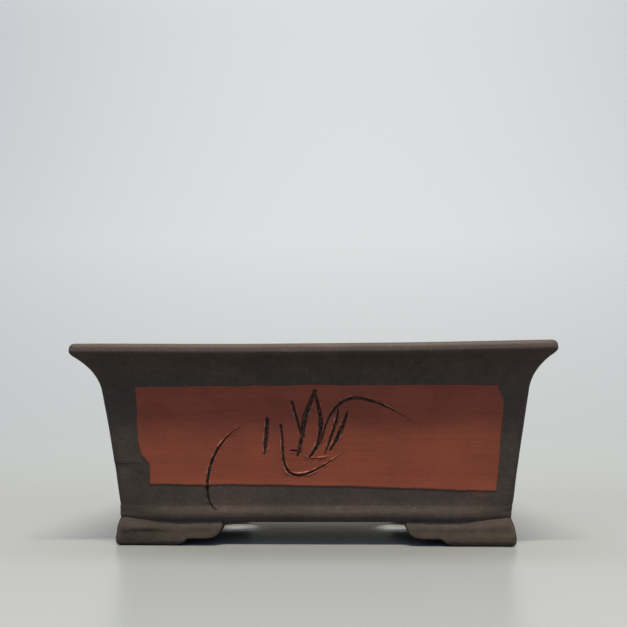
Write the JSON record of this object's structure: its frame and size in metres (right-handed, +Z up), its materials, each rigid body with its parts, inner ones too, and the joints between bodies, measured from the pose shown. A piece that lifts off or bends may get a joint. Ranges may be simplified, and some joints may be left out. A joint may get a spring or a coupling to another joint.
{
  "type": "bonsai pot",
  "caption": "Rectangular unglazed stoneware bonsai pot with a thick flared rim, incised red slip panels and cloud-shaped corner feet, for growing and displaying a small tree.",
  "frame": {"origin": "centre of the footprint, on the ground under the feet", "axes": "+X along the long side, towards the right seen from the front; -Y towards the viewer of the front face; +Z up"},
  "size_m": [0.28, 0.16, 0.1204],
  "materials": {
    "dark_clay": "unglazed, hand burnished",
    "red_slip": "unglazed red clay slip, hand brushed"
  },
  "bodies": {
    "root": {"floor_slab": "dark_clay", "front_wall": "dark_clay", "front_rim": "dark_clay", "front_floor_coil": "dark_clay", "back_wall": "dark_clay", "back_rim": "dark_clay", "back_floor_coil": "dark_clay", "left_wall": "dark_clay", "left_rim": "dark_clay", "left_floor_coil": "dark_clay", "right_wall": "dark_clay", "right_rim": "dark_clay", "right_floor_coil": "dark_clay", "front_left_foot": "dark_clay", "front_left_corner_coil": "dark_clay", "front_right_foot": "dark_clay", "front_right_corner_coil": "dark_clay", "back_left_foot": "dark_clay", "back_left_corner_coil": "dark_clay", "back_right_foot": "dark_clay", "back_right_corner_coil": "dark_clay", "front_panel": "red_slip", "back_panel": "red_slip"}
  },
  "joints": []
}
